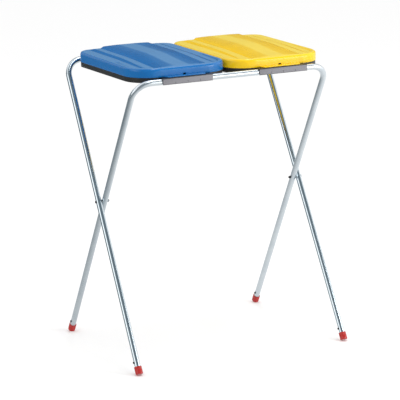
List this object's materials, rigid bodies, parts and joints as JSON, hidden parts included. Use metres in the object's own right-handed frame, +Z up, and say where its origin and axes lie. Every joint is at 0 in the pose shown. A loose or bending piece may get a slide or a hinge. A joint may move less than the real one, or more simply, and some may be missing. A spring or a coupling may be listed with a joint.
{
  "type": "folding waste sack stand",
  "caption": "Folding stand of crossed tube frames that holds open waste sacks side by side in clip-on rings under hinged coloured lids.",
  "frame": {"origin": "on the floor under the middle of the stand, at the bottom centre of its box", "axes": "+X along the top bars to the yellow lid, +Y to the rear hinge bar, +Z up; the finger lips face -Y"},
  "size_m": [0.7683, 0.588, 0.966],
  "materials": {
    "tube_steel": "bright zinc-plated, smooth",
    "cap_red": "moulded, semi-gloss",
    "rivet_dark": "dark plated, satin",
    "zinc_hardware": "zinc-plated",
    "ring_black": "moulded, satin",
    "clip_black": "moulded, semi-gloss",
    "lid_blue": "moulded, semi-gloss",
    "lid_yellow": "moulded, semi-gloss"
  },
  "bodies": {
    "outer_frame": {"outer_frame": "tube_steel", "foot_cap_front_left": "cap_red", "foot_cap_front_right": "cap_red", "foot_rivets_outer": "rivet_dark", "pivot_bolt_left": "rivet_dark", "pivot_bolt_right": "rivet_dark", "pivot_spacer_left": "zinc_hardware", "pivot_spacer_right": "zinc_hardware", "pivot_nut_left": "zinc_hardware", "pivot_nut_right": "zinc_hardware"},
    "inner_frame": {"inner_frame": "tube_steel", "foot_cap_rear_left": "cap_red", "foot_cap_rear_right": "cap_red", "foot_rivets_inner": "rivet_dark"},
    "ring_left": {"bag_ring_left": "ring_black", "front_clip_left": "clip_black", "clip_screws_left": "zinc_hardware"},
    "ring_right": {"bag_ring_right": "ring_black", "front_clip_right": "clip_black", "clip_screws_right": "zinc_hardware"},
    "lid_left": {"lid_left": "lid_blue"},
    "lid_right": {"lid_right": "lid_yellow"}
  },
  "joints": [
    {"name": "frame_fold", "type": "hinge", "parent": "outer_frame", "child": "inner_frame", "pos_m": [0, 0, 0.501], "axis": [-1, 0, 0], "range_deg": [0, 54]},
    {"name": "ring_swing_left", "type": "hinge", "parent": "outer_frame", "child": "ring_left", "pos_m": [0, 0.24168, 0.923], "axis": [-1, 0, 0], "range_deg": [0, 119.5]},
    {"name": "ring_swing_right", "type": "hinge", "parent": "outer_frame", "child": "ring_right", "pos_m": [0, 0.24168, 0.923], "axis": [-1, 0, 0], "range_deg": [0, 119.5]},
    {"name": "lid_hinge_left", "type": "hinge", "parent": "ring_left", "child": "lid_left", "pos_m": [0, 0.24168, 0.923], "axis": [-1, 0, 0], "range_deg": [0, 105]},
    {"name": "lid_hinge_right", "type": "hinge", "parent": "ring_right", "child": "lid_right", "pos_m": [0, 0.24168, 0.923], "axis": [-1, 0, 0], "range_deg": [0, 105]}
  ],
  "couplings": [
    {"joint": "ring_swing_left", "follows": "frame_fold", "ratio": 2.2},
    {"joint": "ring_swing_right", "follows": "frame_fold", "ratio": 2.2}
  ]
}
